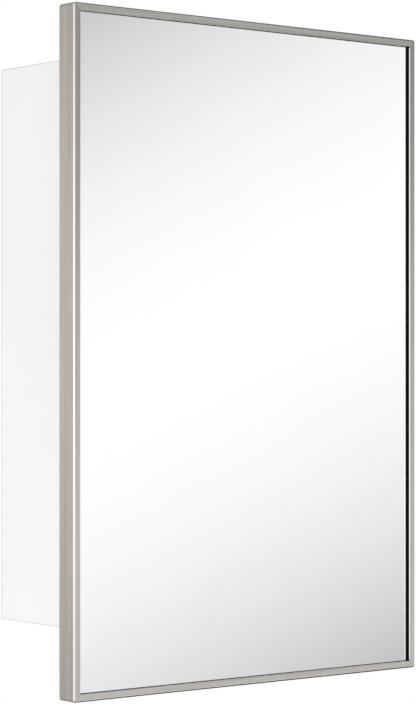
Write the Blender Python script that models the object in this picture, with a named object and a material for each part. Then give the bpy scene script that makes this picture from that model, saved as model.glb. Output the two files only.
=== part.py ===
"""Wall-hung medicine cabinet: a white box, a framed mirror door on a continuous hinge, and glass shelves.

Metres, +Z up. The wall is the plane Y = 0, the cabinet stands out of it towards -Y, and +X is to the right
of someone who faces the mirror. The origin is the centre of the box's rear face.
"""

import math

import bmesh
import bpy
from mathutils import Matrix, Vector

# Door frame: four mitred channels of folded sheet
DOOR_WIDTH = 0.406
DOOR_HEIGHT = 0.610
FRAME_DEPTH = 0.0233
FRAME_SHEET = 0.0012
LIP_WIDTH = 0.0070
EDGE_RADIUS = 0.0019
EDGE_SEGMENTS = 3
CORNER_RADIUS = 0.0026
CORNER_SEGMENTS = 4
MITRE_GAP = 0.0002

# What the frame holds, from front to rear; the core board fills the rest
GASKET_THICKNESS = 0.0020
GASKET_SETBACK = 0.0002
MIRROR_THICKNESS = 0.0040
TAPE_THICKNESS = 0.0010
TAPE_WIDTH = 0.030
TAPE_END_MARGIN = 0.040
BRACKET_SHEET = 0.0015
BRACKET_LEG = 0.040
BRACKET_WIDTH = 0.010

# Box behind the door
SIDE_OVERHANG = 0.022
TOP_OVERHANG = 0.044
BOTTOM_OVERHANG = 0.060
BODY_DEPTH = 0.120
PANEL_THICKNESS = 0.012
BACK_THICKNESS = 0.008
PANEL_EDGE = 0.0006

# Continuous hinge
BARREL_RADIUS = 0.0025
LEAF_SHEET = 0.0009
HINGE_PIN_CLEARANCE = 0.00015
PIVOT_OUTBOARD = 0.0040
HINGE_END_MARGIN = 0.013
KNUCKLE_COUNT = 15
KNUCKLE_GAP = 0.0004
KNUCKLE_SLOT_EXTRA = 0.0005
CURL_SWEEP = math.radians(298)
CURL_SEGMENTS = 14

# Shelves and their pins
SHELF_COUNT = 3
SHELF_THICKNESS = 0.005
SHELF_SETBACK = 0.017
SHELF_CLEARANCE = 0.0010
PIN_RADIUS = 0.0023
PIN_HOLE_RADIUS = 0.0026
PIN_SHANK = 0.0085
PIN_HOLE_DEPTH = 0.0090
PIN_LEDGE = 0.009
PIN_LEDGE_THICKNESS = 0.0022
PIN_FLANGE_THICKNESS = 0.0016
PIN_COLUMN_INSET = 0.020
PIN_ROW_PITCH = 0.032
PIN_ROWS_EACH_WAY = 1

# Screws, all of one size
HEAD_RADIUS = 0.0026
HEAD_HEIGHT = 0.0012
HEAD_RIM_HEIGHT = 0.0005
HEAD_CROWN_RADIUS = 0.0016
SHANK_RADIUS = 0.00125
SHANK_LENGTH = 0.0090
SHANK_TIP_RADIUS = 0.0005
SHANK_TIP_LENGTH = 0.0018
HINGE_SCREWS = 4
HINGE_SCREW_MARGIN = 0.040
HINGE_SCREW_STAGGER = 0.016

# Wall fixings: holes through the rear panel, with push-in caps
WALL_HOLE_RADIUS = 0.0030
WALL_HOLE_INSET_X = 0.040
WALL_HOLE_INSET_Z = 0.050
CAP_RADIUS = 0.0068
CAP_THICKNESS = 0.0024
CAP_RIM = 0.0019
CAP_CROWN_RADIUS = 0.0051

# Magnetic catch, its strike plate and the door's buffers
CATCH_HEIGHT = 0.034
CATCH_DEPTH = 0.014
CATCH_WIDTH = 0.012
CATCH_FLANGE_HEIGHT = 0.058
CATCH_FLANGE_THICKNESS = 0.0022
CATCH_SCREW_SPACING = 0.046
CATCH_LEVEL = 0.060
CATCH_POCKET_WALL = 0.0022
CATCH_POCKET_DEPTH = 0.0100
CATCH_REACH = 0.0024
STRIKE_HEIGHT = 0.054
STRIKE_WIDTH = 0.012
STRIKE_THICKNESS = 0.0012
STRIKE_SCREW_SPACING = 0.043
STRIKE_AIR_GAP = 0.0004
BUFFER_RADIUS = 0.0045
BUFFER_DOME = ((0.94, 0.5), (0.7, 0.85), (0.35, 1.0))
BUFFER_AIR_GAP = 0.0004
BUFFER_INSET = 0.030

FIT = 0.0003
OVERCUT = 0.0010
HOLE_SIDES = 10
ROUND_SIDES = 14

# Worked out from the sizes above
BODY_WIDTH = DOOR_WIDTH - 2 * SIDE_OVERHANG
BODY_HEIGHT = DOOR_HEIGHT - TOP_OVERHANG - BOTTOM_OVERHANG
BODY_X = BODY_WIDTH / 2
BODY_Z = BODY_HEIGHT / 2
BODY_FRONT = -BODY_DEPTH
INSIDE_X = BODY_X - PANEL_THICKNESS
INSIDE_Z = BODY_Z - PANEL_THICKNESS
BACK_FRONT = -BACK_THICKNESS
DOOR_X = DOOR_WIDTH / 2
DOOR_TOP = BODY_Z + TOP_OVERHANG
DOOR_BOTTOM = -BODY_Z - BOTTOM_OVERHANG
CORE_REAR = BODY_FRONT - 2 * FIT - 2 * BARREL_RADIUS
DOOR_REAR = CORE_REAR + FIT + FRAME_SHEET
DOOR_FRONT = DOOR_REAR - FRAME_DEPTH
GASKET_FRONT = DOOR_FRONT + FRAME_SHEET + FIT
GASKET_REAR = GASKET_FRONT + GASKET_THICKNESS
MIRROR_FRONT = GASKET_REAR + FIT
MIRROR_REAR = MIRROR_FRONT + MIRROR_THICKNESS
TAPE_FRONT = MIRROR_REAR + FIT
TAPE_REAR = TAPE_FRONT + TAPE_THICKNESS
CORE_FRONT = TAPE_REAR + FIT
BRACKET_INSET = FRAME_SHEET + FIT
PACK_INSET = BRACKET_INSET + BRACKET_SHEET + FIT
PIVOT_X = BODY_X + PIVOT_OUTBOARD
PIVOT_Y = BODY_FRONT - FIT - BARREL_RADIUS
HINGE_Z = BODY_Z - HINGE_END_MARGIN
LEAF_INNER_X = INSIDE_X + FIT
EDGE_CENTRE_X = INSIDE_X + PANEL_THICKNESS / 2
SHELF_REAR = BACK_FRONT - SHELF_CLEARANCE
SHELF_FRONT = BODY_FRONT + SHELF_SETBACK
SHELF_X = INSIDE_X - SHELF_CLEARANCE
SHELF_PITCH = (2 * INSIDE_Z - SHELF_COUNT * SHELF_THICKNESS) / (SHELF_COUNT + 1)
STRIKE_REAR = CORE_REAR + FIT + STRIKE_THICKNESS
SCREW_CLEAR_RADIUS = SHANK_RADIUS + FIT
KNUCKLE_BORE = BARREL_RADIUS - LEAF_SHEET
HINGE_PIN_RADIUS = KNUCKLE_BORE - HINGE_PIN_CLEARANCE


def clear_scene():
    for obj in list(bpy.data.objects):
        bpy.data.objects.remove(obj, do_unlink=True)


def material(name, colour, roughness, metallic=0.0, alpha=1.0):
    """A Principled material; the same name gives the same material again."""
    found = bpy.data.materials.get(name)
    if found:
        return found
    made = bpy.data.materials.new(name)
    made.use_nodes = True
    shader = made.node_tree.nodes["Principled BSDF"]
    shader.inputs["Base Color"].default_value = (*colour, 1.0)
    shader.inputs["Roughness"].default_value = roughness
    shader.inputs["Metallic"].default_value = metallic
    shader.inputs["Alpha"].default_value = alpha
    made.diffuse_color = (*colour, alpha)
    return made


def lacquer():
    return material("white_lacquer", (0.86, 0.855, 0.84), 0.45)


def nickel():
    return material("brushed_nickel", (0.56, 0.54, 0.51), 0.34, 1.0)


def zinc():
    return material("zinc_plate", (0.62, 0.62, 0.63), 0.38, 1.0)


def silvering():
    return material("silvered_glass", (0.90, 0.91, 0.91), 0.03, 1.0)


def shelf_glass():
    return material("shelf_glass", (0.78, 0.88, 0.84), 0.05, 0.0, 0.35)


def black_rubber():
    return material("black_rubber", (0.015, 0.015, 0.016), 0.7)


def white_plastic():
    return material("white_plastic", (0.80, 0.80, 0.78), 0.4)


def magnet_grey():
    return material("magnet_steel", (0.30, 0.30, 0.31), 0.45, 1.0)


def foam_tape():
    return material("foam_tape", (0.70, 0.70, 0.66), 0.9)


def clear_rubber():
    return material("clear_buffer", (0.72, 0.73, 0.72), 0.3)


def joint_empty(name, point):
    """An empty on a joint's axis, which the moving pieces hang from."""
    empty = bpy.data.objects.new(name, None)
    empty.location = point
    bpy.context.scene.collection.objects.link(empty)
    return empty


def mesh_object(name, bm, look, parent, point):
    """Turns bm, drawn around its own origin, into an object at a world point under its parent."""
    bmesh.ops.recalc_face_normals(bm, faces=bm.faces)
    mesh = bpy.data.meshes.new(name)
    bm.to_mesh(mesh)
    bm.free()
    mesh.materials.append(look)
    obj = bpy.data.objects.new(name, mesh)
    bpy.context.scene.collection.objects.link(obj)
    obj.parent = parent
    obj.location = Vector(point) - parent.location
    return obj


def add_box(bm, low, high):
    """A box between two corners, added to bm."""
    low = Vector(low)
    high = Vector(high)
    size = Matrix.Diagonal((*(high - low), 1.0))
    bmesh.ops.create_cube(bm, size=1.0, matrix=Matrix.Translation((low + high) / 2) @ size)


def add_rod(bm, start, end, radius, sides):
    """A round rod between two points, added to bm."""
    start = Vector(start)
    end = Vector(end)
    turn = (end - start).to_track_quat("Z", "Y").to_matrix().to_4x4()
    bmesh.ops.create_cone(
        bm,
        cap_ends=True,
        segments=sides,
        radius1=radius,
        radius2=radius,
        depth=(end - start).length,
        matrix=Matrix.Translation((start + end) / 2) @ turn,
    )


def add_turned(bm, profile, sides):
    """A solid turned about Z from (radius, height) pairs, bottom to top, with both ends on the axis."""
    rings = []
    for radius, height in profile[1:-1]:
        ring = []
        for step in range(sides):
            angle = 2 * math.pi * step / sides
            ring.append(bm.verts.new((radius * math.cos(angle), radius * math.sin(angle), height)))
        rings.append(ring)
    bottom = bm.verts.new((0, 0, profile[0][1]))
    top = bm.verts.new((0, 0, profile[-1][1]))
    for step in range(sides):
        after = (step + 1) % sides
        bm.faces.new((bottom, rings[0][after], rings[0][step]))
        bm.faces.new((top, rings[-1][step], rings[-1][after]))
        for lower, upper in zip(rings, rings[1:]):
            bm.faces.new((lower[step], lower[after], upper[after], upper[step]))


def add_prism(bm, outline, low_z, high_z):
    """An outline in X and Y drawn out along Z, added to bm."""
    lower = [bm.verts.new((x, y, low_z)) for x, y in outline]
    upper = [bm.verts.new((x, y, high_z)) for x, y in outline]
    bm.faces.new(lower[::-1])
    bm.faces.new(upper)
    for step in range(len(outline)):
        after = (step + 1) % len(outline)
        bm.faces.new((lower[step], lower[after], upper[after], upper[step]))


def box_object(name, low, high, look, parent):
    centre = (Vector(low) + Vector(high)) / 2
    bm = bmesh.new()
    add_box(bm, Vector(low) - centre, Vector(high) - centre)
    return mesh_object(name, bm, look, parent, centre)


def soften(obj, width, segments=1):
    bevel = obj.modifiers.new("edge", "BEVEL")
    bevel.width = width
    bevel.segments = segments


def smooth(obj):
    obj.data.shade_smooth()
    obj.data.set_sharp_from_angle(angle=math.radians(40))


def cutter_object(name, bm):
    """A helper drawn in world coordinates that is left out of the finished cabinet."""
    bmesh.ops.recalc_face_normals(bm, faces=bm.faces)
    mesh = bpy.data.meshes.new(name)
    bm.to_mesh(mesh)
    bm.free()
    cutter = bpy.data.objects.new(name, mesh)
    cutter.hide_render = True
    cutter.display_type = "WIRE"
    bpy.context.scene.collection.objects.link(cutter)
    return cutter


def combine(obj, cutter, operation="DIFFERENCE"):
    boolean = obj.modifiers.new(operation.lower(), "BOOLEAN")
    boolean.operation = operation
    boolean.object = cutter


def row_levels(low, high, count):
    """Count heights from low to high, evenly spaced."""
    return [low + (high - low) * step / (count - 1) for step in range(count)]


def shelf_bottom(index):
    """Height of a shelf's underside; shelves split the inside into equal spaces."""
    return -INSIDE_Z + (index + 1) * SHELF_PITCH + index * SHELF_THICKNESS


def pin_levels(index):
    """Heights of the pin holes around one shelf, the used one in the middle."""
    used = shelf_bottom(index) - FIT - PIN_LEDGE / 2
    return [used + PIN_ROW_PITCH * step for step in range(-PIN_ROWS_EACH_WAY, PIN_ROWS_EACH_WAY + 1)]


def pin_columns():
    return (SHELF_FRONT + PIN_COLUMN_INSET, SHELF_REAR - PIN_COLUMN_INSET)


def hinge_screw_levels(offset):
    reach = HINGE_Z - HINGE_SCREW_MARGIN
    return row_levels(offset - reach, offset + reach, HINGE_SCREWS)


def catch_screw_levels():
    return (CATCH_LEVEL - CATCH_SCREW_SPACING / 2, CATCH_LEVEL + CATCH_SCREW_SPACING / 2)


def strike_screw_levels():
    return (CATCH_LEVEL - STRIKE_SCREW_SPACING / 2, CATCH_LEVEL + STRIKE_SCREW_SPACING / 2)


def catch_centre():
    """Middle of the catch in X and Y, against the left panel and just behind its front edge."""
    return (-INSIDE_X + FIT + CATCH_WIDTH / 2, BODY_FRONT - CATCH_REACH + CATCH_DEPTH / 2)


def make_side_panel(side, name, cabinet):
    """Upright panel, with blind holes for shelf pins and for the screws that go into it."""
    inner = side * INSIDE_X
    outer = side * BODY_X
    low = (min(inner, outer), BODY_FRONT, -BODY_Z)
    high = (max(inner, outer), 0, BODY_Z)
    panel = box_object(name, low, high, lacquer(), cabinet)
    soften(panel, PANEL_EDGE)
    bm = bmesh.new()
    for index in range(SHELF_COUNT):
        for level in pin_levels(index):
            for column in pin_columns():
                start = (inner - side * OVERCUT, column, level)
                end = (inner + side * PIN_HOLE_DEPTH, column, level)
                add_rod(bm, start, end, PIN_HOLE_RADIUS, HOLE_SIDES)
    if side > 0:
        for level in hinge_screw_levels(0):
            start = (EDGE_CENTRE_X, BODY_FRONT - OVERCUT, level)
            end = (EDGE_CENTRE_X, BODY_FRONT + SHANK_LENGTH, level)
            add_rod(bm, start, end, SCREW_CLEAR_RADIUS, HOLE_SIDES)
    else:
        for level in catch_screw_levels():
            start = (inner + OVERCUT, catch_centre()[1], level)
            end = (inner - SHANK_LENGTH, catch_centre()[1], level)
            add_rod(bm, start, end, SCREW_CLEAR_RADIUS, HOLE_SIDES)
    combine(panel, cutter_object(name + "_holes", bm))


def make_end_panels(cabinet):
    """Top and bottom, between the side panels."""
    half = INSIDE_X - FIT
    for name, low_z, high_z in (("top_panel", INSIDE_Z, BODY_Z), ("bottom_panel", -BODY_Z, -INSIDE_Z)):
        panel = box_object(name, (-half, BODY_FRONT, low_z), (half, 0, high_z), lacquer(), cabinet)
        soften(panel, PANEL_EDGE)


def wall_hole_points():
    x = INSIDE_X - WALL_HOLE_INSET_X
    z = INSIDE_Z - WALL_HOLE_INSET_Z
    return ((-x, z), (x, z), (-x, -z), (x, -z))


def make_back_panel(cabinet):
    """Rear panel, flush with the others' rear edges, with stepped holes for the wall screws."""
    half_x = INSIDE_X - FIT
    half_z = INSIDE_Z - FIT
    low = (-half_x, BACK_FRONT, -half_z)
    high = (half_x, 0, half_z)
    panel = box_object("back_panel", low, high, lacquer(), cabinet)
    narrow = bmesh.new()
    wide = bmesh.new()
    for x, z in wall_hole_points():
        add_rod(narrow, (x, BACK_FRONT - OVERCUT, z), (x, OVERCUT, z), WALL_HOLE_RADIUS, HOLE_SIDES)
        floor_y = BACK_FRONT + CAP_THICKNESS + FIT
        add_rod(wide, (x, BACK_FRONT - OVERCUT, z), (x, floor_y, z), CAP_RADIUS + FIT, ROUND_SIDES)
    combine(panel, cutter_object("back_panel_holes", narrow))
    combine(panel, cutter_object("back_panel_counterbores", wide))


def make_caps(cabinet):
    """Push-in caps over the wall screws, with a slightly domed face towards -Y."""
    profile = (
        (0, 0),
        (CAP_RADIUS, 0),
        (CAP_RADIUS, CAP_RIM),
        (CAP_CROWN_RADIUS, CAP_THICKNESS),
        (0, CAP_THICKNESS),
    )
    seat_y = BACK_FRONT + CAP_THICKNESS
    for number, (x, z) in enumerate(wall_hole_points(), 1):
        bm = bmesh.new()
        add_turned(bm, profile, ROUND_SIDES)
        cap = mesh_object(f"screw_cap_{number}", bm, white_plastic(), cabinet, (x, seat_y, z))
        cap.rotation_euler = (math.radians(90), 0, 0)
        smooth(cap)


def make_shelf(index):
    """Loose glass shelf, on an empty that lifts it off its pins."""
    bottom = shelf_bottom(index)
    lift = joint_empty(f"shelf_lift_{index + 1}", (0, (SHELF_FRONT + SHELF_REAR) / 2, bottom))
    low = (-SHELF_X, SHELF_FRONT, bottom)
    high = (SHELF_X, SHELF_REAR, bottom + SHELF_THICKNESS)
    shelf = box_object(f"glass_shelf_{index + 1}", low, high, shelf_glass(), lift)
    soften(shelf, PANEL_EDGE)


def pin_mesh(bm, side):
    """Shelf pin around the centre of its flange: a round shank in the panel and a ledge under the glass."""
    half = PIN_LEDGE / 2
    face = -side * FIT
    flange = -side * (FIT + PIN_FLANGE_THICKNESS)
    tip = -side * (FIT + PIN_LEDGE)
    ledge_bottom = half - PIN_LEDGE_THICKNESS
    outline = (
        (face, -half),
        (flange, -half),
        (flange, ledge_bottom),
        (tip, ledge_bottom),
        (tip, half),
        (face, half),
    )
    add_prism(bm, outline, -half, half)
    bmesh.ops.rotate(bm, verts=bm.verts, matrix=Matrix.Rotation(math.radians(90), 3, "X"))


def make_pin(side, name, column, level, cabinet):
    inner = side * INSIDE_X
    bm = bmesh.new()
    pin_mesh(bm, side)
    pin = mesh_object(name, bm, zinc(), cabinet, (inner, column, level))
    shank = bmesh.new()
    start = (inner - side * (FIT + PIN_FLANGE_THICKNESS / 2), column, level)
    add_rod(shank, start, (inner + side * PIN_SHANK, column, level), PIN_RADIUS, HOLE_SIDES)
    combine(pin, cutter_object(name + "_shank", shank), "UNION")


def make_pins(cabinet):
    for index in range(SHELF_COUNT):
        level = shelf_bottom(index) - FIT - PIN_LEDGE / 2
        for side, side_name in ((-1, "left"), (1, "right")):
            for column, column_name in zip(pin_columns(), ("front", "rear")):
                make_pin(side, f"shelf_pin_{index + 1}_{side_name}_{column_name}", column, level, cabinet)


def screw_object(name, look, parent, point, direction):
    """Round-headed screw; point is under the head, and direction is the way that the head faces."""
    bm = bmesh.new()
    profile = (
        (0, -SHANK_LENGTH),
        (SHANK_TIP_RADIUS, -SHANK_LENGTH),
        (SHANK_RADIUS, SHANK_TIP_LENGTH - SHANK_LENGTH),
        (SHANK_RADIUS, 0),
        (HEAD_RADIUS, 0),
        (HEAD_RADIUS, HEAD_RIM_HEIGHT),
        (HEAD_CROWN_RADIUS, HEAD_HEIGHT),
        (0, HEAD_HEIGHT),
    )
    add_turned(bm, profile, HOLE_SIDES)
    screw = mesh_object(name, bm, look, parent, point)
    screw.rotation_mode = "QUATERNION"
    screw.rotation_quaternion = Vector(direction).to_track_quat("Z", "Y")
    smooth(screw)


def leaf_outline(facing):
    """Rolled leaf seen along the pin; facing is +1 where its plate lies behind the pin, -1 in front."""
    plate_end = LEAF_INNER_X - PIVOT_X
    outline = [(plate_end, facing * BARREL_RADIUS)]
    for step in range(CURL_SEGMENTS + 1):
        angle = math.pi / 2 - CURL_SWEEP * step / CURL_SEGMENTS
        outline.append((BARREL_RADIUS * math.cos(angle), facing * BARREL_RADIUS * math.sin(angle)))
    for step in range(CURL_SEGMENTS, -1, -1):
        angle = math.pi / 2 - CURL_SWEEP * step / CURL_SEGMENTS
        outline.append((KNUCKLE_BORE * math.cos(angle), facing * KNUCKLE_BORE * math.sin(angle)))
    outline.append((plate_end, facing * KNUCKLE_BORE))
    return outline


def make_leaf(name, facing, first_slot, screw_offset, parent):
    """One leaf: rolled sheet with slots for the other leaf's knuckles and holes for its screws."""
    pitch = 2 * HINGE_Z / KNUCKLE_COUNT
    bm = bmesh.new()
    add_prism(bm, leaf_outline(facing), -HINGE_Z, HINGE_Z)
    leaf = mesh_object(name, bm, zinc(), parent, (PIVOT_X, PIVOT_Y, 0))
    smooth(leaf)
    slots = bmesh.new()
    reach = BARREL_RADIUS + KNUCKLE_SLOT_EXTRA
    for knuckle in range(first_slot, KNUCKLE_COUNT, 2):
        low_z = -HINGE_Z + knuckle * pitch - KNUCKLE_GAP / 2
        low_z -= OVERCUT if knuckle == 0 else 0
        high_z = -HINGE_Z + (knuckle + 1) * pitch + KNUCKLE_GAP / 2
        high_z += OVERCUT if knuckle == KNUCKLE_COUNT - 1 else 0
        low = (PIVOT_X - reach, PIVOT_Y - reach, low_z)
        add_box(slots, low, (PIVOT_X + reach, PIVOT_Y + reach, high_z))
    combine(leaf, cutter_object(name + "_slots", slots))
    holes = bmesh.new()
    for level in hinge_screw_levels(screw_offset):
        start = (EDGE_CENTRE_X, PIVOT_Y, level)
        end = (EDGE_CENTRE_X, PIVOT_Y + facing * (BARREL_RADIUS + OVERCUT), level)
        add_rod(holes, start, end, SCREW_CLEAR_RADIUS, HOLE_SIDES)
    combine(leaf, cutter_object(name + "_holes", holes))


def make_hinge(cabinet, door):
    """Both leaves, the pin that joins them, and their screws."""
    make_leaf("hinge_leaf_cabinet", 1, 1, 0, cabinet)
    make_leaf("hinge_leaf_door", -1, 0, HINGE_SCREW_STAGGER, door)
    bm = bmesh.new()
    add_rod(bm, (0, 0, -HINGE_Z), (0, 0, HINGE_Z), HINGE_PIN_RADIUS, ROUND_SIDES)
    smooth(mesh_object("hinge_pin", bm, zinc(), cabinet, (PIVOT_X, PIVOT_Y, 0)))
    seat = KNUCKLE_BORE - FIT
    for number, level in enumerate(hinge_screw_levels(0), 1):
        point = (EDGE_CENTRE_X, PIVOT_Y + seat, level)
        screw_object(f"hinge_screw_cabinet_{number}", zinc(), cabinet, point, (0, -1, 0))
    for number, level in enumerate(hinge_screw_levels(HINGE_SCREW_STAGGER), 1):
        point = (EDGE_CENTRE_X, PIVOT_Y - seat, level)
        screw_object(f"hinge_screw_door_{number}", zinc(), door, point, (0, 1, 0))


def round_edges(bm, edges, radius, segments):
    bmesh.ops.bevel(bm, geom=edges, offset=radius, segments=segments, profile=0.5, affect="EDGES")


def edge_depth(edge):
    return abs(edge.verts[0].co.y - edge.verts[1].co.y)


def door_envelope():
    """The door's outer shape: rounded corners seen from the front, then softened front and rear edges."""
    bm = bmesh.new()
    add_box(bm, (-DOOR_X, DOOR_FRONT, DOOR_BOTTOM), (DOOR_X, DOOR_REAR, DOOR_TOP))
    corners = [edge for edge in bm.edges if edge_depth(edge) > FRAME_DEPTH / 2]
    round_edges(bm, corners, CORNER_RADIUS, CORNER_SEGMENTS)
    rims = [edge for edge in bm.edges if edge_depth(edge) < FIT]
    round_edges(bm, rims, EDGE_RADIUS, EDGE_SEGMENTS)
    return cutter_object("door_envelope", bm)


def channel_outline():
    """Folded channel seen along its length, as (inwards from the door's edge, depth) pairs."""
    front_in = DOOR_FRONT + FRAME_SHEET
    rear_in = DOOR_REAR - FRAME_SHEET
    front_out = DOOR_FRONT - OVERCUT
    rear_out = DOOR_REAR + OVERCUT
    return (
        (-OVERCUT, front_out),
        (LIP_WIDTH, front_out),
        (LIP_WIDTH, front_in),
        (FRAME_SHEET, front_in),
        (FRAME_SHEET, rear_in),
        (LIP_WIDTH, rear_in),
        (LIP_WIDTH, rear_out),
        (-OVERCUT, rear_out),
    )


def bar_point(place, inwards, depth, end):
    """A corner of a bar's mitred end; end is -1 or +1 along the bar."""
    middle_z = (DOOR_TOP + DOOR_BOTTOM) / 2
    half_x = DOOR_X - inwards
    half_z = DOOR_HEIGHT / 2 - inwards
    seam = MITRE_GAP / 2
    if place == "left":
        return (-half_x, depth, middle_z + end * (half_z - seam))
    if place == "right":
        return (half_x, depth, middle_z + end * (half_z - seam))
    if place == "top":
        return (end * (half_x - seam), depth, middle_z + half_z)
    return (end * (half_x - seam), depth, middle_z - half_z)


def make_frame_bar(place, envelope, door):
    """One mitred channel of the door frame."""
    bm = bmesh.new()
    ends = []
    for end in (-1, 1):
        points = [Vector(bar_point(place, inwards, depth, end)) for inwards, depth in channel_outline()]
        ends.append([bm.verts.new(point - door.location) for point in points])
    first, last = ends
    bm.faces.new(first)
    bm.faces.new(last[::-1])
    for step in range(len(first)):
        after = (step + 1) % len(first)
        bm.faces.new((first[step], last[step], last[after], first[after]))
    bar = mesh_object(f"frame_bar_{place}", bm, nickel(), door, door.location)
    combine(bar, envelope, "INTERSECT")


def make_corner_bracket(side, up, name, door):
    """Right-angled strip inside the corner of two channels."""
    outer_x = DOOR_X - BRACKET_INSET
    outer_z = (DOOR_TOP if up > 0 else -DOOR_BOTTOM) - BRACKET_INSET
    leg = BRACKET_LEG
    sheet = BRACKET_SHEET
    outline = ((0, 0), (leg, 0), (leg, sheet), (sheet, sheet), (sheet, leg), (0, leg))
    bm = bmesh.new()
    add_prism(bm, outline, -BRACKET_WIDTH / 2, BRACKET_WIDTH / 2)
    bmesh.ops.rotate(bm, verts=bm.verts, matrix=Matrix.Rotation(math.radians(90), 3, "X"))
    bmesh.ops.scale(bm, verts=bm.verts, vec=(-side, 1, -up))
    middle_y = (DOOR_FRONT + DOOR_REAR) / 2
    mesh_object(name, bm, zinc(), door, (side * outer_x, middle_y, up * outer_z))


def make_gasket(door):
    """Black ring between the frame's front lip and the mirror."""
    outer = PACK_INSET
    inner = LIP_WIDTH - GASKET_SETBACK
    low = (-DOOR_X + outer, GASKET_FRONT, DOOR_BOTTOM + outer)
    high = (DOOR_X - outer, GASKET_REAR, DOOR_TOP - outer)
    ring = box_object("mirror_gasket", low, high, black_rubber(), door)
    bm = bmesh.new()
    low = (-DOOR_X + inner, GASKET_FRONT - OVERCUT, DOOR_BOTTOM + inner)
    add_box(bm, low, (DOOR_X - inner, GASKET_REAR + OVERCUT, DOOR_TOP - inner))
    combine(ring, cutter_object("gasket_opening", bm))


def make_mirror(door):
    low = (-DOOR_X + PACK_INSET, MIRROR_FRONT, DOOR_BOTTOM + PACK_INSET)
    high = (DOOR_X - PACK_INSET, MIRROR_REAR, DOOR_TOP - PACK_INSET)
    box_object("mirror_glass", low, high, silvering(), door)


def make_tape(side, name, door):
    """Foam strip that bonds the mirror to the core."""
    centre = side * DOOR_WIDTH / 4
    low = (centre - TAPE_WIDTH / 2, TAPE_FRONT, DOOR_BOTTOM + TAPE_END_MARGIN)
    high = (centre + TAPE_WIDTH / 2, TAPE_REAR, DOOR_TOP - TAPE_END_MARGIN)
    box_object(name, low, high, foam_tape(), door)


def make_core(door):
    """Backing board of the door, with blind holes for the screws that go into it."""
    low = (-DOOR_X + PACK_INSET, CORE_FRONT, DOOR_BOTTOM + PACK_INSET)
    high = (DOOR_X - PACK_INSET, CORE_REAR, DOOR_TOP - PACK_INSET)
    core = box_object("door_core", low, high, lacquer(), door)
    bm = bmesh.new()
    points = [(EDGE_CENTRE_X, level) for level in hinge_screw_levels(HINGE_SCREW_STAGGER)]
    points += [(catch_centre()[0], level) for level in strike_screw_levels()]
    for x, level in points:
        start = (x, CORE_REAR + OVERCUT, level)
        end = (x, CORE_REAR - SHANK_LENGTH, level)
        add_rod(bm, start, end, SCREW_CLEAR_RADIUS, HOLE_SIDES)
    combine(core, cutter_object("door_core_holes", bm))


def make_catch(cabinet):
    """Catch on the left panel: a housing with two screw flanges, and the magnet in its pocket."""
    x, y = catch_centre()
    half_depth = CATCH_DEPTH / 2
    face = -CATCH_WIDTH / 2
    step = face + CATCH_FLANGE_THICKNESS
    tall = CATCH_FLANGE_HEIGHT / 2
    short = CATCH_HEIGHT / 2
    outline = (
        (face, -tall),
        (step, -tall),
        (step, -short),
        (-face, -short),
        (-face, short),
        (step, short),
        (step, tall),
        (face, tall),
    )
    bm = bmesh.new()
    add_prism(bm, outline, -half_depth, half_depth)
    bmesh.ops.rotate(bm, verts=bm.verts, matrix=Matrix.Rotation(math.radians(90), 3, "X"))
    housing = mesh_object("catch_housing", bm, white_plastic(), cabinet, (x, y, CATCH_LEVEL))
    front = BODY_FRONT - CATCH_REACH
    pocket_x = CATCH_WIDTH / 2 - CATCH_POCKET_WALL
    pocket_z = short - CATCH_POCKET_WALL
    pocket = bmesh.new()
    low = (x - pocket_x, front - OVERCUT, CATCH_LEVEL - pocket_z)
    add_box(pocket, low, (x + pocket_x, front + CATCH_POCKET_DEPTH, CATCH_LEVEL + pocket_z))
    for level in catch_screw_levels():
        flange_in = -INSIDE_X - OVERCUT
        flange_out = -INSIDE_X + FIT + CATCH_FLANGE_THICKNESS + OVERCUT
        add_rod(pocket, (flange_in, y, level), (flange_out, y, level), SCREW_CLEAR_RADIUS, HOLE_SIDES)
    combine(housing, cutter_object("catch_pocket", pocket))
    low = (x - pocket_x + FIT, STRIKE_REAR + STRIKE_AIR_GAP, CATCH_LEVEL - pocket_z + FIT)
    high = (x + pocket_x - FIT, front + CATCH_POCKET_DEPTH - FIT, CATCH_LEVEL + pocket_z - FIT)
    box_object("catch_magnet", low, high, magnet_grey(), cabinet)
    for number, level in enumerate(catch_screw_levels(), 1):
        point = (-INSIDE_X + 2 * FIT + CATCH_FLANGE_THICKNESS, y, level)
        screw_object(f"catch_screw_{number}", zinc(), cabinet, point, (1, 0, 0))


def make_strike(door):
    """Steel plate on the core that the magnet holds, between two screws."""
    x = catch_centre()[0]
    low = (x - STRIKE_WIDTH / 2, CORE_REAR + FIT, CATCH_LEVEL - STRIKE_HEIGHT / 2)
    high = (x + STRIKE_WIDTH / 2, STRIKE_REAR, CATCH_LEVEL + STRIKE_HEIGHT / 2)
    plate = box_object("strike_plate", low, high, zinc(), door)
    bm = bmesh.new()
    for level in strike_screw_levels():
        end = (x, STRIKE_REAR + OVERCUT, level)
        add_rod(bm, (x, CORE_REAR, level), end, SCREW_CLEAR_RADIUS, HOLE_SIDES)
    combine(plate, cutter_object("strike_holes", bm))
    for number, level in enumerate(strike_screw_levels(), 1):
        screw_object(f"strike_screw_{number}", zinc(), door, (x, STRIKE_REAR + FIT, level), (0, 1, 0))


def make_buffer(name, level, door):
    """Soft domed buffer on the core, opposite the left panel's front edge."""
    height = BODY_FRONT - CORE_REAR - FIT - BUFFER_AIR_GAP
    dome = [(BUFFER_RADIUS * across, height * up) for across, up in BUFFER_DOME]
    profile = [(0, 0), (BUFFER_RADIUS, 0), *dome, (0, height)]
    bm = bmesh.new()
    add_turned(bm, profile, ROUND_SIDES)
    buffer = mesh_object(name, bm, clear_rubber(), door, (-EDGE_CENTRE_X, CORE_REAR + FIT, level))
    buffer.rotation_euler = (math.radians(-90), 0, 0)
    smooth(buffer)


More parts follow.
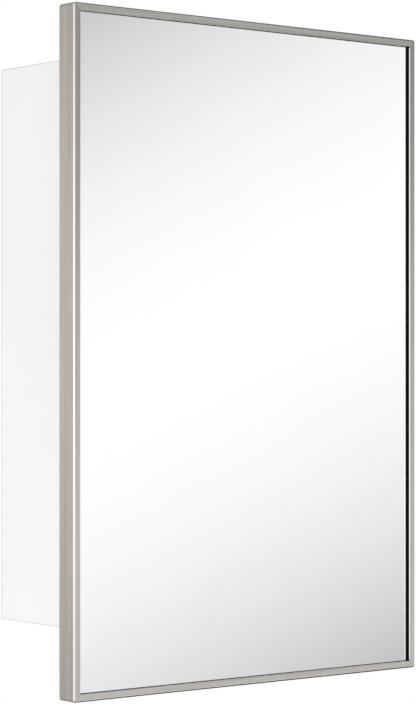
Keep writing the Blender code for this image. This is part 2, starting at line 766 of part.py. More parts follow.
def make_door(door):
    envelope = door_envelope()
    for place in ("left", "right", "top", "bottom"):
        make_frame_bar(place, envelope, door)
    for side, side_name in ((-1, "left"), (1, "right")):
        for up, up_name in ((1, "top"), (-1, "bottom")):
            make_corner_bracket(side, up, f"corner_bracket_{up_name}_{side_name}", door)
    make_gasket(door)
    make_mirror(door)
    make_tape(-1, "mirror_tape_left", door)
    make_tape(1, "mirror_tape_right", door)
    make_core(door)
    make_strike(door)
    make_buffer("door_buffer_top", BODY_Z - BUFFER_INSET, door)
    make_buffer("door_buffer_bottom", -BODY_Z + BUFFER_INSET, door)


def make_box(cabinet):
    make_side_panel(-1, "side_panel_left", cabinet)
    make_side_panel(1, "side_panel_right", cabinet)
    make_end_panels(cabinet)
    make_back_panel(cabinet)
    make_caps(cabinet)
    make_pins(cabinet)
    make_catch(cabinet)


def main():
    clear_scene()
    cabinet = joint_empty("cabinet", (0, 0, 0))
    door = joint_empty("door_hinge", (PIVOT_X, PIVOT_Y, 0))
    make_box(cabinet)
    for index in range(SHELF_COUNT):
        make_shelf(index)
    make_door(door)
    make_hinge(cabinet, door)


main()
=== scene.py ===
# Medicine cabinet with a framed mirror door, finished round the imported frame
import math

import bmesh
import bpy
from mathutils import Matrix, Vector


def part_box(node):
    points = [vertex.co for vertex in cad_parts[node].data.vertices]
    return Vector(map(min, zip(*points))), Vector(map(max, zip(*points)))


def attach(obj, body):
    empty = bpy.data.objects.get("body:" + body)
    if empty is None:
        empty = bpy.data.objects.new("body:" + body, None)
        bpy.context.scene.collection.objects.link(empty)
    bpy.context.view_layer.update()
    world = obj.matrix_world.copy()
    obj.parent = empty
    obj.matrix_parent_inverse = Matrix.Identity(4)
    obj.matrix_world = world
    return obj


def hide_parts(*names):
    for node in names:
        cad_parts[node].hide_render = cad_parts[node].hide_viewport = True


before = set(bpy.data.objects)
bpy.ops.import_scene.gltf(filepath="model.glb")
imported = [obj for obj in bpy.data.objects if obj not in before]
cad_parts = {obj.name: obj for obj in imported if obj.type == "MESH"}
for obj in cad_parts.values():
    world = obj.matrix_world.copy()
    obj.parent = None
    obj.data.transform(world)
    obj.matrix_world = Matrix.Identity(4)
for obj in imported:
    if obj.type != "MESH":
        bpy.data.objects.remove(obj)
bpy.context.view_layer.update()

mm = 0.001
fullTurn = 2 * math.pi
print("frame loaded")


def nodeBox(name):
    low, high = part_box(name)
    return Vector(low), Vector(high)


def nodeMiddle(name):
    low, high = nodeBox(name)
    return (low + high) / 2


leftBar, rightBar, topBar, bottomBar = (
    nodeBox("frame_bar_" + place) for place in ("left", "right", "top", "bottom"))
doorLow = Vector((leftBar[0].x, leftBar[0].y, bottomBar[0].z))
doorHigh = Vector((rightBar[1].x, rightBar[1].y, topBar[1].z))
bodyLow = nodeBox("side_panel_left")[0]
bodyHigh = nodeBox("side_panel_right")[1]


# small helpers for node trees


def setInputs(tree, node, values):
    # each value is a plain one, or a socket to link from
    for key, value in values.items():
        if isinstance(value, bpy.types.NodeSocket):
            tree.links.new(value, node.inputs[key])
        else:
            node.inputs[key].default_value = value


def addNode(tree, kind, settings=None, values=None):
    node = tree.nodes.new(kind)
    for key, value in (settings or {}).items():
        setattr(node, key, value)
    setInputs(tree, node, values or {})
    return node


def startMaterial(name):
    made = bpy.data.materials.new(name)
    made.use_nodes = True
    return made, made.node_tree, made.node_tree.nodes["Principled BSDF"]


def objectPlace(tree):
    return addNode(tree, "ShaderNodeTexCoord").outputs["Object"]


def objectNoise(tree, scale, detail=3.0, roughness=0.55, stretch=(1, 1, 1)):
    mapping = addNode(tree, "ShaderNodeMapping", values={"Vector": objectPlace(tree), "Scale": stretch})
    noise = addNode(tree, "ShaderNodeTexNoise", values={
        "Vector": mapping.outputs["Vector"], "Scale": scale, "Detail": detail, "Roughness": roughness})
    return noise.outputs["Fac"]


def ramp(tree, source, lowColour, highColour, low=0.3, high=0.7):
    node = addNode(tree, "ShaderNodeValToRGB", values={"Fac": source})
    for element, place, colour in zip(node.color_ramp.elements, (low, high), (lowColour, highColour)):
        element.position = place
        element.color = (*colour, 1)
    return node.outputs["Color"]


def remap(tree, source, low, high, fromLow=0.3, fromHigh=0.7):
    node = addNode(tree, "ShaderNodeMapRange", values={
        "Value": source, "From Min": fromLow, "From Max": fromHigh, "To Min": low, "To Max": high})
    return node.outputs["Result"]


def smoothStep(tree, value, low, high):
    return addNode(tree, "ShaderNodeMapRange", {"interpolation_type": "SMOOTHSTEP"}, {
        "Value": value, "From Min": low, "From Max": high}).outputs["Result"]


def mathNode(tree, operation, first, second=None):
    values = {0: first} if second is None else {0: first, 1: second}
    return addNode(tree, "ShaderNodeMath", {"operation": operation}, values).outputs["Value"]


def mathMix(tree, factor, first, second):
    values = {0: factor, 2: first, 3: second}
    return addNode(tree, "ShaderNodeMix", {"data_type": "FLOAT"}, values).outputs[0]


def colourMix(tree, factor, first, second):
    values = {0: factor, 6: first, 7: (*second, 1)}
    return addNode(tree, "ShaderNodeMix", {"data_type": "RGBA"}, values).outputs[2]


def dotNode(tree, vector, aim):
    values = {0: vector, 1: Vector(aim).normalized()}
    return addNode(tree, "ShaderNodeVectorMath", {"operation": "DOT_PRODUCT"}, values).outputs["Value"]


def bump(tree, source, shader, strength, distance):
    values = {"Height": source, "Strength": strength, "Distance": distance}
    tree.links.new(addNode(tree, "ShaderNodeBump", values=values).outputs["Normal"], shader.inputs["Normal"])


# materials

# the brightest colour is for the polished edges and is also a painted highlight
nickel = {
    "dark": (0.385, 0.370, 0.345), "light": (0.60, 0.580, 0.546), "polishedHighlight": (0.93, 0.915, 0.89),
    "contrast": (0.28, 0.72), "roughLow": 0.24, "roughHigh": 0.36, "roughEdge": 0.2,
    "fineNoise": (1.0, 4.0, 0.7), "grain": 2600, "length": 9,
    "broadNoise": (1.0, 2.0, 0.5), "broadGrain": 416, "broadLength": 4.5, "broadShare": 0.4,
    "relief": 0.5, "grainHeight": 0.006 * mm, "anisotropic": 0.6,
}


def alongAxis(axis, across, along):
    stretch = Vector((across, across, across))
    stretch[axis] = along
    return stretch


def brushedNickel(name, axis):
    # streaks run along the bar, highlights spread across them, and the folded edges are polished bright with
    # a painted highlight: a lighter, smoother colour on the rounded and cut edges that stands in for their
    # glint
    made, tree, shader = startMaterial(name)
    fine = objectNoise(tree, *nickel["fineNoise"], alongAxis(axis, nickel["grain"], nickel["length"]))
    broad = objectNoise(
        tree, *nickel["broadNoise"], alongAxis(axis, nickel["broadGrain"], nickel["broadLength"]))
    streaks = mathMix(tree, nickel["broadShare"], fine, broad)
    metal = ramp(tree, streaks, nickel["dark"], nickel["light"], *nickel["contrast"])
    rough = remap(tree, streaks, nickel["roughHigh"], nickel["roughLow"])
    # painted highlight: the edge mask mixes in the bright edge colour and a lower roughness
    paintedEdgeMask = addNode(tree, "ShaderNodeAttribute", {"attribute_name": "burnish"}).outputs["Fac"]
    normal = addNode(tree, "ShaderNodeNewGeometry").outputs["Normal"]
    spread = addNode(tree, "ShaderNodeVectorMath", {"operation": "CROSS_PRODUCT"}, {
        0: normal, 1: alongAxis(axis, 0, 1)})
    setInputs(tree, shader, {
        "Base Color": colourMix(tree, paintedEdgeMask, metal, nickel["polishedHighlight"]),
        "Roughness": mathMix(tree, paintedEdgeMask, rough, nickel["roughEdge"]),
        "Tangent": spread.outputs["Vector"], "Metallic": 1.0, "Anisotropic": nickel["anisotropic"]})
    bump(tree, fine, shader, nickel["relief"], nickel["grainHeight"])
    return made


# colour follows a cloud, relief a finer grain, and roughness either one; noises are scale, detail, roughness
lacquer = {
    "cloud": (7, 2.0), "low": (0.885, 0.885, 0.872), "high": (0.915, 0.915, 0.903), "grain": (420, 2.0, 0.5),
    "grainRough": True, "rough": (0.34, 0.44), "relief": (0.4, 0.012 * mm), "plain": {"Coat Weight": 0.15},
}
silvering = {
    "cloud": (9, 4.0, 0.6), "low": (0.968, 0.972, 0.970), "high": (0.98, 0.983, 0.981), "rough": (0.0, 0.012),
    "plain": {"Metallic": 1.0},
}
# black gasket: its near-black colour also paints in the shade of the recess behind the lip
blackRubber = {
    "cloud": (1500, 3.0), "low": (0.004, 0.004, 0.004), "high": (0.010, 0.010, 0.010), "rough": (0.75, 0.9),
    "relief": (0.3, 0.03 * mm), "plain": {"Specular IOR Level": 0.1},
}
zincPlate = {
    "cloud": (160, 4.0, 0.6), "low": (0.50, 0.51, 0.53), "high": (0.68, 0.68, 0.68), "grain": (2200, 2.0),
    "rough": (0.26, 0.42), "relief": (0.3, 0.01 * mm), "plain": {"Metallic": 1.0},
}
mouldedPlastic = {
    "cloud": (60, 2.0), "low": (0.80, 0.80, 0.785), "high": (0.85, 0.85, 0.84), "grain": (1800, 2.0),
    "grainRough": True, "rough": (0.32, 0.44), "relief": (0.35, 0.02 * mm),
}
softSilicone = {
    "cloud": (300, 3.0), "low": (0.80, 0.82, 0.82), "high": (0.90, 0.91, 0.90), "rough": (0.16, 0.3),
    "plain": {"Transmission Weight": 0.6, "IOR": 1.41},
}
clearGlass = {
    "cloud": (14, 4.0, 0.6), "low": (0.965, 0.985, 0.975), "high": (0.98, 0.992, 0.985), "rough": (0.0, 0.02),
    "plain": {"Transmission Weight": 1.0, "IOR": 1.52},
}
groundEdge = {
    "cloud": (14, 4.0, 0.6), "low": (0.40, 0.66, 0.58), "high": (0.48, 0.74, 0.66), "rough": (0.12, 0.14),
    "plain": {"Transmission Weight": 0.45, "IOR": 1.52},
}
darkMagnet = {
    "cloud": (900, 4.0, 0.7), "low": (0.16, 0.16, 0.165), "high": (0.30, 0.30, 0.30), "rough": (0.35, 0.5),
    "relief": (0.3, 0.02 * mm), "plain": {"Metallic": 0.9},
}


def cloudMaterial(name, look):
    made, tree, shader = startMaterial(name)
    cloud = objectNoise(tree, *look["cloud"])
    grain = objectNoise(tree, *look["grain"]) if "grain" in look else cloud
    rough = grain if "grainRough" in look else cloud
    setInputs(tree, shader, {
        "Base Color": ramp(tree, cloud, look["low"], look["high"]),
        "Roughness": remap(tree, rough, *look["rough"]), **look.get("plain", {})})
    if "relief" in look:
        bump(tree, grain, shader, *look["relief"])
    return made


# painted shade: a grey line along the box's outer edges, wider at the front and rear edges
boxEdgeShade = {"colour": (0.64, 0.64, 0.625), "width": 0.95 * mm, "rearWidth": 2.4 * mm, "full": 0.7}


def nearPlane(tree, source, place, width):
    # 1 at a plane of the box, 0 a width inside it
    return remap(tree, source, 0.0, 1.0, place - width, place - boxEdgeShade["full"] * width)


def paintEdgeShade(made):
    # painted shade: the lacquer is darkened where two outer planes of the box meet, standing in for the shade
    # on the rounded edges
    tree = made.node_tree
    split = addNode(tree, "ShaderNodeSeparateXYZ", values={"Vector": objectPlace(tree)}).outputs
    middle = (bodyLow.y + bodyHigh.y) / 2
    depth = mathNode(tree, "ABSOLUTE", mathNode(tree, "SUBTRACT", split["Y"], middle))
    width = boxEdgeShade["width"]
    sideways = nearPlane(tree, mathNode(tree, "ABSOLUTE", split["X"]), bodyHigh.x, width)
    upright = nearPlane(tree, mathNode(tree, "ABSOLUTE", split["Z"]), bodyHigh.z, width)
    frontBack = nearPlane(tree, depth, bodyHigh.y - middle, boxEdgeShade["rearWidth"])
    pairs = [mathNode(tree, "MULTIPLY", one, two) for one, two in (
        (sideways, upright), (sideways, frontBack), (upright, frontBack))]
    paintedEdgeMask = mathNode(tree, "MAXIMUM", mathNode(tree, "MAXIMUM", pairs[0], pairs[1]), pairs[2])
    colour = tree.nodes["Principled BSDF"].inputs["Base Color"]
    tree.links.new(colourMix(tree, paintedEdgeMask, colour.links[0].from_socket, boxEdgeShade["colour"]), colour)


foam = {
    "cells": 1600, "low": (0.5, 0.5, 0.47), "high": (0.78, 0.78, 0.74), "contrast": (0.1, 0.8), "rough": 0.9,
    "relief": (0.6, 0.1 * mm),
}


def foamTape():
    made, tree, shader = startMaterial("foamTape")
    voronoi = addNode(tree, "ShaderNodeTexVoronoi", values={
        "Vector": objectPlace(tree), "Scale": foam["cells"]})
    cells = voronoi.outputs["Distance"]
    colour = ramp(tree, cells, foam["low"], foam["high"], *foam["contrast"])
    setInputs(tree, shader, {"Base Color": colour, "Roughness": foam["rough"]})
    bump(tree, cells, shader, *foam["relief"])
    return made


uprightNickel = brushedNickel("brushedNickelUpright", 2)
levelNickel = brushedNickel("brushedNickelLevel", 0)
white = cloudMaterial("whiteLacquer", lacquer)
# painted shade along the box's edges
paintEdgeShade(white)
coreWhite = cloudMaterial("whiteCoreBoard", lacquer)
mirrorFinish = cloudMaterial("silveredGlass", silvering)
# the gasket's near-black colour is partly painted shade
gasketRubberShade = cloudMaterial("blackRubber", blackRubber)
zinc = cloudMaterial("zincPlate", zincPlate)
whitePlastic = cloudMaterial("whitePlastic", mouldedPlastic)
silicone = cloudMaterial("softSilicone", softSilicone)
shelfGlass = cloudMaterial("shelfGlass", clearGlass)
shelfEdge = cloudMaterial("shelfEdgeGlass", groundEdge)
magnetSteel = cloudMaterial("magnetSteel", darkMagnet)
tape = foamTape()
print("materials made")


# helpers for pieces


def meshPiece(name, bm, materials, recalculate=True):
    if recalculate:
        bmesh.ops.recalc_face_normals(bm, faces=bm.faces)
    mesh = bpy.data.meshes.new(name)
    bm.to_mesh(mesh)
    bm.free()
    for material in materials:
        mesh.materials.append(material)
    piece = bpy.data.objects.new(name, mesh)
    bpy.context.scene.collection.objects.link(piece)
    return piece


def bakePiece(piece):
    # the evaluated shape becomes a plain mesh and the modifiers go
    graph = bpy.context.evaluated_depsgraph_get()
    mesh = bpy.data.meshes.new_from_object(piece.evaluated_get(graph))
    piece.modifiers.clear()
    piece.data = mesh


def smoothPiece(piece, degrees):
    # smooth, except across edges that turn by more
    piece.data.shade_smooth()
    piece.data.set_sharp_from_angle(angle=math.radians(degrees))


def evenPiece(piece, degrees=40):
    # smooth, with flat faces kept flat beside their rounded edges
    smoothPiece(piece, degrees)
    weighted = piece.modifiers.new("evenNormals", "WEIGHTED_NORMAL")
    weighted.keep_sharp = True
    weighted.weight = 100
    bakePiece(piece)


def bevelEdges(bm, edges, offset, segments):
    bmesh.ops.bevel(bm, geom=edges, offset=offset, segments=segments, profile=0.5, affect="EDGES")


def dropHelper(helper):
    bpy.data.objects.remove(helper, do_unlink=True)


def settle(piece, body, slot, *nodes):
    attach(piece, body)
    if nodes:
        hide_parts(*nodes)


def addBlock(bm, low, high):
    low = Vector(low)
    high = Vector(high)
    size = Matrix.Diagonal((*(high - low), 1))
    return bmesh.ops.create_cube(bm, size=1, matrix=Matrix.Translation((low + high) / 2) @ size)["verts"]


def roundedBlock(name, low, high, radius, segments, materials):
    bm = bmesh.new()
    addBlock(bm, low, high)
    bevelEdges(bm, bm.edges[:], radius, segments)
    piece = meshPiece(name, bm, materials)
    evenPiece(piece)
    return piece


def addTurned(bm, profile, sides):
    # (radius, height) pairs turned about Z, closed at both ends
    rings = []
    for radius, height in profile:
        if radius == 0:
            rings.append([bm.verts.new((0, 0, height))])
            continue
        turned = []
        for step in range(sides):
            angle = fullTurn * step / sides
            turned.append(bm.verts.new((radius * math.cos(angle), radius * math.sin(angle), height)))
        rings.append(turned)
    for lower, upper in zip(rings, rings[1:]):
        for step in range(sides):
            after = (step + 1) % sides
            around = [lower[step % len(lower)], lower[after % len(lower)],
                      upper[after % len(upper)], upper[step % len(upper)]]
            bm.faces.new(list(dict.fromkeys(around)))


# helpers for geometry node trees


def startTree(name, inputs):
    tree = bpy.data.node_groups.new(name, "GeometryNodeTree")
    tree.interface.new_socket("Geometry", in_out="INPUT", socket_type="NodeSocketGeometry")
    for label, kind in inputs.items():
        tree.interface.new_socket(label, in_out="INPUT", socket_type="NodeSocket" + kind)
    tree.interface.new_socket("Geometry", in_out="OUTPUT", socket_type="NodeSocketGeometry")
    return tree, tree.nodes.new("NodeGroupInput").outputs


def finishTree(tree, source, geometry):
    # every tree ends in Realize Instances and Set Material
    real = addNode(tree, "GeometryNodeRealizeInstances", values={"Geometry": geometry})
    paint = addNode(tree, "GeometryNodeSetMaterial", values={
        "Geometry": real.outputs["Geometry"], "Material": source["Material"]})
    addNode(tree, "NodeGroupOutput", values={"Geometry": paint.outputs["Geometry"]})
    return tree


def storedValue(tree, name, kind):
    node = addNode(tree, "GeometryNodeInputNamedAttribute", {"data_type": kind}, {"Name": name})
    return node.outputs["Attribute"]


def shapeOf(tree, holder):
    return addNode(tree, "GeometryNodeObjectInfo", {"transform_space": "ORIGINAL"}, {
        "Object": holder}).outputs["Geometry"]


def onTurnedPoints(tree, points, shape, size=(1, 1, 1)):
    # copies of a shape, each with its point's own turn
    rotation = addNode(tree, "FunctionNodeEulerToRotation", values={
        "Euler": storedValue(tree, "turn", "FLOAT_VECTOR")})
    return addNode(tree, "GeometryNodeInstanceOnPoints", values={
        "Points": points, "Instance": shape, "Rotation": rotation.outputs["Rotation"],
        "Scale": size}).outputs["Instances"]


def linkAll(tree, sockets, target):
    for socket in sockets:
        tree.links.new(socket, target)


def meshBoolean(tree, operation, cut, *others):
    node = addNode(tree, "GeometryNodeMeshBoolean", {"operation": operation, "solver": "EXACT"})
    if cut:
        tree.links.new(cut, node.inputs["Mesh 1"])
    linkAll(tree, others, node.inputs["Mesh 2"])
    return node.outputs["Mesh"]


def joinAll(tree, *shapes):
    node = tree.nodes.new("GeometryNodeJoinGeometry")
    linkAll(tree, shapes, node.inputs["Geometry"])
    return node.outputs["Geometry"]


def growTree(piece, tree, values):
    # inputs are set by identifier before the first evaluation
    grow = piece.modifiers.new(tree.name, "NODES")
    grow.node_group = tree
    for item in tree.interface.items_tree:
        if item.in_out == "INPUT" and item.name in values:
            grow[item.identifier] = values[item.name]
    bakePiece(piece)


def pointCloud(name, points, turns):
    # loose points that carry the turn of what stands on them
    mesh = bpy.data.meshes.new(name)
    mesh.from_pydata([tuple(point) for point in points], [], [])
    spin = mesh.attributes.new("turn", "FLOAT_VECTOR", "POINT")
    for index, turn in enumerate(turns):
        spin.data[index].vector = turn
    piece = bpy.data.objects.new(name, mesh)
    bpy.context.scene.collection.objects.link(piece)
    return piece


def repeatTree():
    # copies of one model on a cloud of points
    tree, source = startTree("repeatOnPoints", {"Model": "Object", "Size": "Float", "Material": "Material"})
    copies = onTurnedPoints(tree, source["Geometry"], shapeOf(tree, source["Model"]), source["Size"])
    return finishTree(tree, source, copies)


repeatOnPoints = repeatTree()
repeatCrease = 35


def repeatPiece(name, model, points, turns, material):
    piece = pointCloud(name, points, turns)
    growTree(piece, repeatOnPoints, {"Model": model, "Size": 1.0, "Material": material})
    smoothPiece(piece, repeatCrease)
    return piece


# door frame: four mitred channels of brushed sheet

channel = {
    "sheet": 1.2 * mm, "lip": 7 * mm, "seam": 0.16 * mm, "over": 1 * mm, "weld": 0.001 * mm,
    "cutEdge": 0.2 * mm, "edgeRadius": 1.9 * mm, "edgeSegments": 7,
    "cornerRadius": 2.6 * mm, "cornerSegments": 10,
    # how strongly the rounded edges take the polished colour and painted highlight
    "crease": 25, "burnish": 2.0, "cutNear": 0.01 * mm,
}


def edgeDepth(edge):
    return abs(edge.verts[0].co.y - edge.verts[1].co.y)


def doorEnvelope():
    # the door's outside with its rounded corners and softened edges
    bm = bmesh.new()
    addBlock(bm, doorLow, doorHigh)
    depth = doorHigh.y - doorLow.y
    corners = [edge for edge in bm.edges if edgeDepth(edge) > depth / 2]
    bevelEdges(bm, corners, channel["cornerRadius"], channel["cornerSegments"])
    rims = [edge for edge in bm.edges if edgeDepth(edge) < depth / 2]
    bevelEdges(bm, rims, channel["edgeRadius"], channel["edgeSegments"])
    return meshPiece("doorEnvelope", bm, [])


def scaledVector(tree, vector, factor, share):
    values = {0: vector, "Scale": mathNode(tree, "MULTIPLY", factor, share)}
    return addNode(tree, "ShaderNodeVectorMath", {"operation": "SCALE"}, values).outputs[0]


def channelTree():
    # a flat section with a reach at each point, drawn both ways along the bar and trimmed by the envelope
    tree, source = startTree("mitredChannel", {
        "Along": "Vector", "Envelope": "Object", "Material": "Material"})
    reach = storedValue(tree, "reach", "FLOAT")
    near = addNode(tree, "GeometryNodeSetPosition", values={
        "Geometry": source["Geometry"],
        "Offset": scaledVector(tree, source["Along"], reach, -1.0)}).outputs[0]
    drawn = addNode(tree, "GeometryNodeExtrudeMesh", {"mode": "FACES"}, {
        "Mesh": near, "Offset Scale": 0.0, "Individual": False}).outputs
    far = addNode(tree, "GeometryNodeSetPosition", values={
        "Geometry": drawn["Mesh"], "Selection": drawn["Top"],
        "Offset": scaledVector(tree, source["Along"], reach, 2.0)}).outputs[0]
    nearFace = addNode(tree, "GeometryNodeFlipFaces", values={"Mesh": near}).outputs["Mesh"]
    bar = addNode(tree, "GeometryNodeMergeByDistance", values={
        "Geometry": joinAll(tree, nearFace, far), "Distance": channel["weld"]}).outputs["Geometry"]
    trimmed = meshBoolean(tree, "INTERSECT", None, bar, shapeOf(tree, source["Envelope"]))
    return finishTree(tree, source, trimmed)


def channelSection(name, place):
    # the folded section at the middle of one bar, with how far each point reaches along it
    upright = place in ("left", "right")
    sheet = channel["sheet"]
    lip = channel["lip"]
    over = channel["over"]
    cut = channel["cutEdge"]
    front = doorLow.y
    rear = doorHigh.y
    outline = (
        (-over, front - over), (lip - cut - over, front - over), (lip, front + cut), (lip, front + sheet),
        (sheet, front + sheet), (sheet, rear - sheet), (lip, rear - sheet), (lip, rear + over),
        (-over, rear + over))
    middle = (doorLow + doorHigh) / 2
    half = (doorHigh - doorLow) / 2
    halfLength = half.z if upright else half.x
    bm = bmesh.new()
    layer = bm.verts.layers.float.new("reach")
    corners = []
    for inwards, depth in outline:
        corner = bm.verts.new({
            "left": (doorLow.x + inwards, depth, middle.z), "right": (doorHigh.x - inwards, depth, middle.z),
            "top": (middle.x, depth, doorHigh.z - inwards),
            "bottom": (middle.x, depth, doorLow.z + inwards)}[place])
        corner[layer] = halfLength - inwards - channel["seam"] / 2
        corners.append(corner)
    face = bm.faces.new(corners)
    face.normal_update()
    along = Vector((0, 0, 1)) if upright else Vector((1, 0, 0))
    if face.normal.dot(along) < 0:
        face.normal_flip()
    return meshPiece(name, bm, [], recalculate=False), along


def polishAndHighlightEdges(piece):
    # how far each point lies into a rounded outer edge, and 1 on the cut edge beside the mirror: the mask for
    # the polished edges and their painted highlight
    paintedEdgeMask = piece.data.attributes.new("burnish", "FLOAT", "POINT")
    for index, vert in enumerate(piece.data.vertices):
        place = vert.co
        side = min(place.x - doorLow.x, doorHigh.x - place.x, place.z - doorLow.z, doorHigh.z - place.z)
        share = 1 - max(side, place.y - doorLow.y) / channel["edgeRadius"]
        atCut = abs(side - channel["lip"]) < channel["cutNear"]
        paintedEdgeMask.data[index].value = 1 if atCut else min(1, max(0, channel["burnish"] * share))


def makeFrame():
    envelope = doorEnvelope()
    tree = channelTree()
    for place in ("left", "right", "top", "bottom"):
        piece, along = channelSection("frameBar" + place.capitalize(), place)
        metal = uprightNickel if place in ("left", "right") else levelNickel
        growTree(piece, tree, {"Along": along, "Envelope": envelope, "Material": metal})
        evenPiece(piece, channel["crease"])
        # mask for the polished edges and their painted highlight
        polishAndHighlightEdges(piece)
        settle(piece, "door", "brushed_nickel", "frame_bar_" + place)
    dropHelper(envelope)


makeFrame()
print("door frame made")


# box panels, drilled where pins and wall screws go

panel = {"edge": 0.9 * mm, "segments": 4}
pinHoles = {"radius": 2.6 * mm, "depth": 9 * mm, "pitch": 32 * mm, "inset": 20 * mm, "sides": 28}
shelfSet = {"count": 3, "ledge": 9 * mm, "fit": 0.3 * mm}


def drillTree():
    # round holes cut where the points are, each twice as long as its depth so that its middle is the surface
    tree, source = startTree("drilledPanel", {
        "Holes": "Object", "Hole Radius": "Float", "Hole Depth": "Float", "Sides": "Int",
        "Material": "Material"})
    drillBit = addNode(tree, "GeometryNodeMeshCylinder", values={
        "Vertices": source["Sides"], "Radius": source["Hole Radius"],
        "Depth": mathNode(tree, "MULTIPLY", source["Hole Depth"], 2.0)}).outputs["Mesh"]
    bits = addNode(tree, "GeometryNodeRealizeInstances", values={
        "Geometry": onTurnedPoints(tree, shapeOf(tree, source["Holes"]), drillBit)}).outputs["Geometry"]
    return finishTree(tree, source, meshBoolean(tree, "DIFFERENCE", source["Geometry"], bits))


drilledPanel = drillTree()


def drill(piece, points, turn, radius, depth, material):
    holes = pointCloud(piece.name + "Holes", points, [turn] * len(points))
    growTree(piece, drilledPanel, {
        "Holes": holes, "Hole Radius": radius, "Hole Depth": depth, "Sides": pinHoles["sides"],
        "Material": material})
    dropHelper(holes)


def panelPiece(name, node):
    low, high = nodeBox(node)
    bm = bmesh.new()
    addBlock(bm, low, high)
    bevelEdges(bm, bm.edges[:], panel["edge"], panel["segments"])
    return meshPiece(name, bm, [white])


def pinLevels():
    levels = []
    for number in range(1, shelfSet["count"] + 1):
        bottom = nodeBox(f"glass_shelf_{number}")[0].z
        used = bottom - shelfSet["fit"] - shelfSet["ledge"] / 2
        levels += [used + pinHoles["pitch"] * step for step in (-1, 0, 1)]
    return levels


def pinColumns():
    low, high = nodeBox("glass_shelf_1")
    return low.y + pinHoles["inset"], high.y - pinHoles["inset"]


def finishPanel(piece, node):
    evenPiece(piece)
    settle(piece, "cabinet", "white_lacquer", node)


def makeSidePanels():
    for node, name, inner in (
            ("side_panel_left", "sidePanelLeft", nodeBox("side_panel_left")[1].x),
            ("side_panel_right", "sidePanelRight", nodeBox("side_panel_right")[0].x)):
        piece = panelPiece(name, node)
        points = [(inner, column, level) for level in pinLevels() for column in pinColumns()]
        drill(piece, points, (0, math.pi / 2, 0), pinHoles["radius"], pinHoles["depth"], white)
        finishPanel(piece, node)


def makeEndPanels():
    for node, name in (("top_panel", "topPanel"), ("bottom_panel", "bottomPanel")):
        finishPanel(panelPiece(name, node), node)


backPanel = {"screwHole": 3 * mm, "capGap": 0.3 * mm}
capNodes = [f"screw_cap_{number}" for number in range(1, 5)]


def capPlaces(depth):
    return [(middle.x, depth, middle.z) for middle in map(nodeMiddle, capNodes)]


def makeBackPanel():
    low, high = nodeBox("back_panel")
    capLow, capHigh = nodeBox(capNodes[0])
    gap = backPanel["capGap"]
    piece = panelPiece("backPanel", "back_panel")
    sideways = (math.pi / 2, 0, 0)
    drill(piece, capPlaces(high.y), sideways, backPanel["screwHole"], 2 * (high.y - low.y), white)
    radius = (capHigh.x - capLow.x) / 2 + gap
    drill(piece, capPlaces(low.y), sideways, radius, capHigh.y - capLow.y + gap, white)
    finishPanel(piece, "back_panel")


makeSidePanels()
makeEndPanels()
makeBackPanel()
print("box made")


# caps over the wall screws

cap = {"sides": 40, "lip": 0.35 * mm, "crown": 0.8 * mm, "steps": 8, "crownReach": 0.96}


def makeCaps():
    low, high = nodeBox(capNodes[0])
    radius = (high.x - low.x) / 2
    thick = high.y - low.y
    crownBase = thick - cap["crown"]
    profile = [(0, 0), (radius - cap["lip"], 0), (radius, cap["lip"]), (radius, crownBase - cap["lip"])]
    for step in range(cap["steps"] + 1):
        angle = math.pi / 2 * step / cap["steps"]
        reach = radius * math.cos(angle * cap["crownReach"])
        profile.append((reach, crownBase + cap["crown"] * math.sin(angle)))
    profile.append((0, thick))
    bm = bmesh.new()
    addTurned(bm, profile, cap["sides"])
    model = meshPiece("capModel", bm, [])
    points = capPlaces(high.y)
    piece = repeatPiece("screwCaps", model, points, [(math.pi / 2, 0, 0)] * len(points), whitePlastic)
    dropHelper(model)
    settle(piece, "cabinet", "white_plastic", *capNodes)


makeCaps()


# glass shelves and their pins

shelf = {"arris": 0.7 * mm, "segments": 3, "level": 0.99}


def makeShelves():
    for number in range(1, shelfSet["count"] + 1):
        low, high = nodeBox(f"glass_shelf_{number}")
        piece = roundedBlock(
            f"glassShelf{number}", low, high, shelf["arris"], shelf["segments"], [shelfGlass, shelfEdge])
        for face in piece.data.polygons:
            # ground edges look green
            face.material_index = 0 if abs(face.normal.z) > shelf["level"] else 1
        settle(piece, f"shelf_{number}", "shelf_glass", f"glass_shelf_{number}")


pin = {
    "ledge": 9 * mm, "flange": 1.6 * mm, "plate": 2.2 * mm, "fit": 0.3 * mm, "shank": 8.5 * mm,
    "radius": 2.3 * mm, "sides": 28, "round": 0.5 * mm, "edge": 0.3 * mm, "edgeSegments": 3,
    "rib": 1.1 * mm, "ribDeep": 0.7, "ribLong": 0.8,
}


def pinModel():
    # shank towards +X, flange against the panel, ledge towards -X with a rib under it
    half = pin["ledge"] / 2
    near = -pin["fit"]
    flange = near - pin["flange"]
    tip = near - pin["ledge"]
    ledgeBottom = half - pin["plate"]
    bm = bmesh.new()
    addBlock(bm, (flange, -half, -half), (near, half, half))
    addBlock(bm, (tip, -half, ledgeBottom), (flange + pin["round"], half, half))
    bevelEdges(bm, bm.edges[:], pin["edge"], pin["edgeSegments"])
    ribSide = pin["rib"] / 2
    rib = [bm.verts.new((x, -ribSide, z)) for x, z in (
        (flange, -half * pin["ribDeep"]), (flange, ledgeBottom), (tip * pin["ribLong"], ledgeBottom))]
    other = [bm.verts.new((vert.co.x, ribSide, vert.co.z)) for vert in rib]
    bm.faces.new(rib)
    bm.faces.new(other[::-1])
    for step in range(3):
        after = (step + 1) % 3
        bm.faces.new((rib[step], other[step], other[after], rib[after]))
    shank = bmesh.new()
    profile = [(0, 0), (pin["radius"], 0), (pin["radius"], pin["shank"] - pin["round"])]
    profile += [(pin["radius"] - pin["round"], pin["shank"]), (0, pin["shank"])]
    addTurned(shank, profile, pin["sides"])
    bmesh.ops.transform(shank, matrix=Matrix.Rotation(math.pi / 2, 4, "Y"), verts=shank.verts)
    joined = bpy.data.meshes.new("shank")
    shank.to_mesh(joined)
    shank.free()
    bm.from_mesh(joined)
    return meshPiece("pinModel", bm, [])


